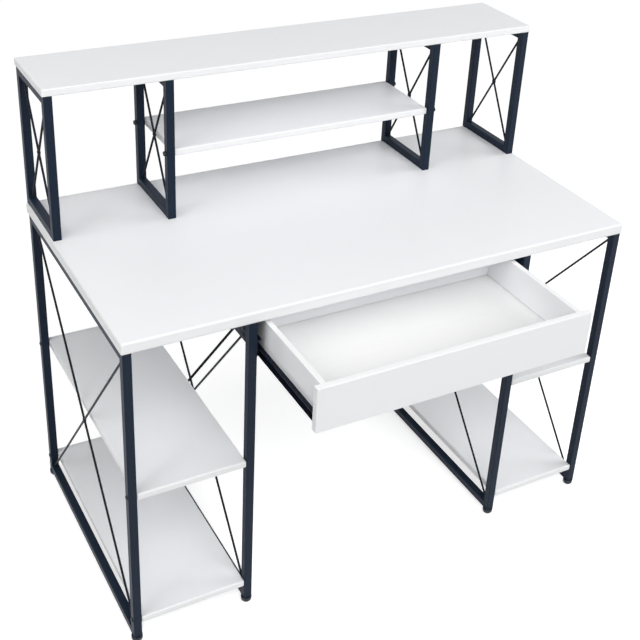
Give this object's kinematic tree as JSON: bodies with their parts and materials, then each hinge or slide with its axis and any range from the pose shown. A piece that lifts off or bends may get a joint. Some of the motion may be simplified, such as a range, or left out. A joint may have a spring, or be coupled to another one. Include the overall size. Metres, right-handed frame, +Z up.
{
  "type": "student desk with hutch",
  "caption": "White writing desk on dark steel frames with crossed rods, open shelf pedestals, a raised hutch and a kneehole drawer on roller slides.",
  "frame": {"origin": "on the floor under the middle of the whole part, with the drawer pulled out as stored", "axes": "+Z up, +X to the sitter's right along the desk's width, +Y from the sitter to the back edge"},
  "size_m": [1.19, 0.853, 1.096],
  "materials": {
    "white_board": "white melamine facing, satin",
    "frame_steel": "charcoal blue powder coat, satin",
    "rod_steel": "charcoal blue powder coat, satin",
    "slide_steel": "black baked enamel, semi-gloss",
    "foot_plastic": "moulded, matte",
    "roller_nylon": "moulded black nylon, satin",
    "black_bolt": "black zinc, satin",
    "zinc_fastener": "bright zinc"
  },
  "bodies": {
    "desk": {"back_brace": "rod_steel", "back_brace_bolts": "black_bolt", "cabinet_left_track": "slide_steel", "cabinet_right_track": "slide_steel", "desktop": "white_board", "desktop_screws": "zinc_fastener", "feet": "foot_plastic", "hutch_bolts": "zinc_fastener", "hutch_shelf": "white_board", "hutch_top": "white_board", "hutch_top_screws": "zinc_fastener", "left_bottom_shelf": "white_board", "left_inner_back_leg": "frame_steel", "left_inner_cross_rods": "rod_steel", "left_inner_front_leg": "frame_steel", "left_inner_hutch_cross_rods": "rod_steel", "left_inner_hutch_posts": "frame_steel", "left_inner_hutch_rails": "frame_steel", "left_inner_rails": "frame_steel", "left_middle_shelf": "white_board", "left_outer_back_leg": "frame_steel", "left_outer_cross_rods": "rod_steel", "left_outer_front_leg": "frame_steel", "left_outer_hutch_cross_rods": "rod_steel", "left_outer_hutch_posts": "frame_steel", "left_outer_hutch_rails": "frame_steel", "left_outer_rails": "frame_steel", "left_slide_bracket": "frame_steel", "right_bottom_shelf": "white_board", "right_inner_back_leg": "frame_steel", "right_inner_cross_rods": "rod_steel", "right_inner_front_leg": "frame_steel", "right_inner_hutch_cross_rods": "rod_steel", "right_inner_hutch_posts": "frame_steel", "right_inner_hutch_rails": "frame_steel", "right_inner_rails": "frame_steel", "right_middle_shelf": "white_board", "right_outer_back_leg": "frame_steel", "right_outer_cross_rods": "rod_steel", "right_outer_front_leg": "frame_steel", "right_outer_hutch_cross_rods": "rod_steel", "right_outer_hutch_posts": "frame_steel", "right_outer_hutch_rails": "frame_steel", "right_outer_rails": "frame_steel", "right_slide_bracket": "frame_steel", "shelf_bolts": "black_bolt", "shelf_pins": "zinc_fastener", "slide_screws": "black_bolt"},
    "drawer": {"drawer_front": "white_board", "drawer_left_side": "white_board", "drawer_right_side": "white_board", "drawer_back": "white_board", "drawer_bottom": "white_board", "drawer_left_track": "slide_steel", "drawer_right_track": "slide_steel", "drawer_fixings": "zinc_fastener"},
    "left_front_roller": {"left_front_roller": "roller_nylon"},
    "right_front_roller": {"right_front_roller": "roller_nylon"},
    "left_rear_roller": {"left_rear_roller": "roller_nylon"},
    "right_rear_roller": {"right_rear_roller": "roller_nylon"}
  },
  "joints": [
    {"name": "drawer_slide", "type": "slide", "parent": "desk", "child": "drawer", "axis": [0, -1, 0], "range_m": [-0.235, 0]},
    {"name": "left_front_roller_spin", "type": "hinge", "parent": "desk", "child": "left_front_roller", "pos_m": [-0.3062, -0.1625, 0.652], "axis": [1, 0, 0], "range_deg": [-1796, 0]},
    {"name": "right_front_roller_spin", "type": "hinge", "parent": "desk", "child": "right_front_roller", "pos_m": [0.3062, -0.1625, 0.652], "axis": [1, 0, 0], "range_deg": [-1796, 0]},
    {"name": "left_rear_roller_spin", "type": "hinge", "parent": "drawer", "child": "left_rear_roller", "pos_m": [-0.3058, -0.1115, 0.673], "axis": [1, 0, 0], "range_deg": [-1796, 0]},
    {"name": "right_rear_roller_spin", "type": "hinge", "parent": "drawer", "child": "right_rear_roller", "pos_m": [0.3058, -0.1115, 0.673], "axis": [1, 0, 0], "range_deg": [-1796, 0]}
  ],
  "couplings": [
    {"joint": "left_front_roller_spin", "follows": "drawer_slide", "rad_per_m": 133.33},
    {"joint": "right_front_roller_spin", "follows": "drawer_slide", "rad_per_m": 133.33},
    {"joint": "left_rear_roller_spin", "follows": "drawer_slide", "rad_per_m": 133.33},
    {"joint": "right_rear_roller_spin", "follows": "drawer_slide", "rad_per_m": 133.33}
  ]
}
